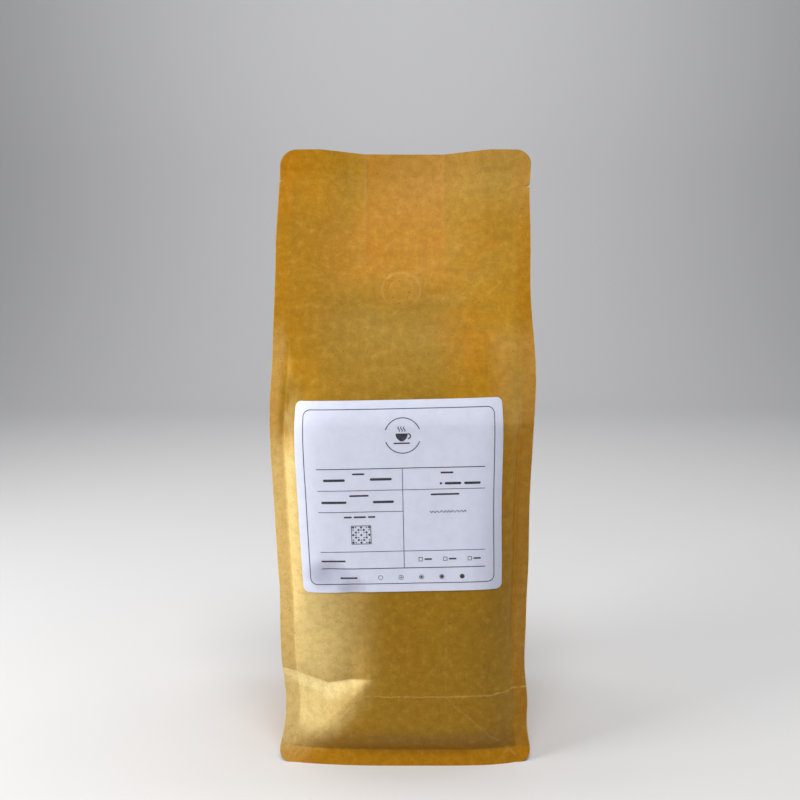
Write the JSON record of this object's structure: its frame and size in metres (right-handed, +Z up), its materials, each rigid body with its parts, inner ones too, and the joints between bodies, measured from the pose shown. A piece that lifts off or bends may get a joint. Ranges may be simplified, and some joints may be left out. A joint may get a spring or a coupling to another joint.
{
  "type": "coffee bag",
  "caption": "Sealed flat-bottom pouch of kraft laminate for roasted coffee, with folded side gussets, edge seals, tear notches and a paper label.",
  "frame": {"origin": "centre of the bottom, on the surface the bag stands on", "axes": "+Z up along the bag, +X to the right across the front, the labelled front faces -Y"},
  "size_m": [0.1418, 0.094, 0.339],
  "materials": {
    "kraft_laminate": "brown kraft paper laminate, satin, with fine fibres and flecks",
    "label_paper": "matt white self-adhesive paper with thin printed rules"
  },
  "bodies": {
    "root": {"bag": "kraft_laminate", "label": "label_paper"}
  },
  "joints": []
}
